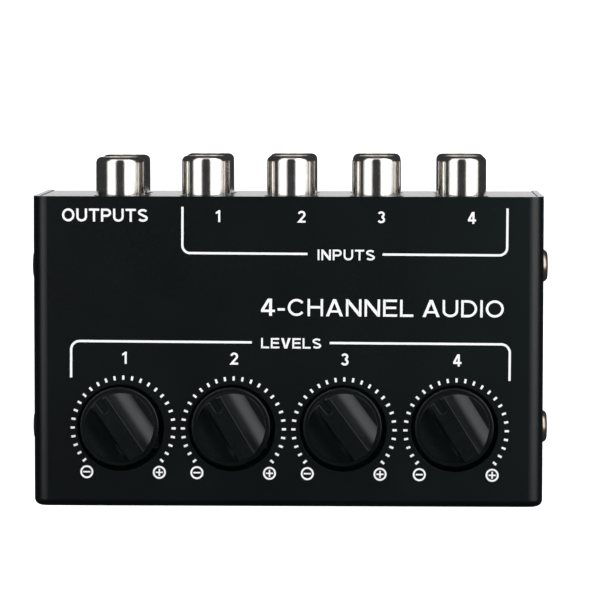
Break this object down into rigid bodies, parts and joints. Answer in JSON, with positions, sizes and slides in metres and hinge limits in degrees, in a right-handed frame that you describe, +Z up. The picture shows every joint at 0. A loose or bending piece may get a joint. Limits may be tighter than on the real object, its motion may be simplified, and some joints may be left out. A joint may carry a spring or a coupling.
{
  "type": "audio mixer",
  "caption": "Small passive stereo mixer in a folded black steel box, with level knobs on its face and stacked phono jacks on its rear panel",
  "frame": {"origin": "centre of the whole object's outline, on the surface that its feet stand on", "axes": "+Z up, out of the face with the knobs; +X to the right of someone who faces the knobs; +Y towards the jacks"},
  "size_m": [0.0886, 0.0594, 0.0362],
  "materials": {
    "black_coat": "satin black powder coat with a fine grain",
    "screw_steel": "nickel-plated steel",
    "rubber": "matt",
    "board": "green solder mask on glass-fibre laminate",
    "chip": "chip resistor",
    "track": "carbon track",
    "tin": "tinned brass",
    "black_screw": "black oxide",
    "pot_plastic": "moulded",
    "bracket_steel": "bright tin-plated steel",
    "shaft_plastic": "moulded insulated shaft",
    "wiper_plastic": "moulded rotor",
    "knob_plastic": "fine satin moulding",
    "jack_plastic": "moulded",
    "nickel": "bright nickel plate",
    "insert_white": "moulded",
    "white_ink": "screen-printed ink on the face of the cover"
  },
  "bodies": {
    "chassis": {"top_cover": "black_coat", "bottom_tray": "black_coat", "cover_screws": "screw_steel", "rubber_feet": "rubber", "main_board": "board", "board_spacers": "screw_steel", "board_screws": "screw_steel", "mixing_resistors": "chip", "pot_tracks": "track", "pot_terminals": "tin", "jack_terminals": "tin", "jack_screws": "black_screw", "pot_case_1": "pot_plastic", "pot_bracket_1": "bracket_steel", "pot_case_2": "pot_plastic", "pot_bracket_2": "bracket_steel", "pot_case_3": "pot_plastic", "pot_bracket_3": "bracket_steel", "pot_case_4": "pot_plastic", "pot_bracket_4": "bracket_steel", "jack_housing_output": "jack_plastic", "jack_shell_upper_output": "nickel", "jack_insert_upper_output": "insert_white", "jack_shell_lower_output": "nickel", "jack_insert_lower_output": "insert_white", "jack_housing_input_1": "jack_plastic", "jack_shell_upper_input_1": "nickel", "jack_insert_upper_input_1": "insert_white", "jack_shell_lower_input_1": "nickel", "jack_insert_lower_input_1": "insert_white", "jack_housing_input_2": "jack_plastic", "jack_shell_upper_input_2": "nickel", "jack_insert_upper_input_2": "insert_white", "jack_shell_lower_input_2": "nickel", "jack_insert_lower_input_2": "insert_white", "jack_housing_input_3": "jack_plastic", "jack_shell_upper_input_3": "nickel", "jack_insert_upper_input_3": "insert_white", "jack_shell_lower_input_3": "nickel", "jack_insert_lower_input_3": "insert_white", "jack_housing_input_4": "jack_plastic", "jack_shell_upper_input_4": "nickel", "jack_insert_upper_input_4": "insert_white", "jack_shell_lower_input_4": "nickel", "jack_insert_lower_input_4": "insert_white"},
    "control_1": {"knob_1": "knob_plastic", "pot_shaft_1": "shaft_plastic", "pot_wipers_1": "wiper_plastic"},
    "control_2": {"knob_2": "knob_plastic", "pot_shaft_2": "shaft_plastic", "pot_wipers_2": "wiper_plastic"},
    "control_3": {"knob_3": "knob_plastic", "pot_shaft_3": "shaft_plastic", "pot_wipers_3": "wiper_plastic"},
    "control_4": {"knob_4": "knob_plastic", "pot_shaft_4": "shaft_plastic", "pot_wipers_4": "wiper_plastic"}
  },
  "joints": [
    {"name": "level_1_turn", "type": "hinge", "parent": "chassis", "child": "control_1", "pos_m": [-0.0284, -0.0159, 0.031], "axis": [0, 0, 1], "range_deg": [-174.5, 105.5]},
    {"name": "level_2_turn", "type": "hinge", "parent": "chassis", "child": "control_2", "pos_m": [-0.00957, -0.0159, 0.031], "axis": [0, 0, 1], "range_deg": [-171, 109]},
    {"name": "level_3_turn", "type": "hinge", "parent": "chassis", "child": "control_3", "pos_m": [0.00927, -0.0159, 0.031], "axis": [0, 0, 1], "range_deg": [-176.5, 103.5]},
    {"name": "level_4_turn", "type": "hinge", "parent": "chassis", "child": "control_4", "pos_m": [0.02809, -0.0159, 0.031], "axis": [0, 0, 1], "range_deg": [-172, 108]}
  ]
}
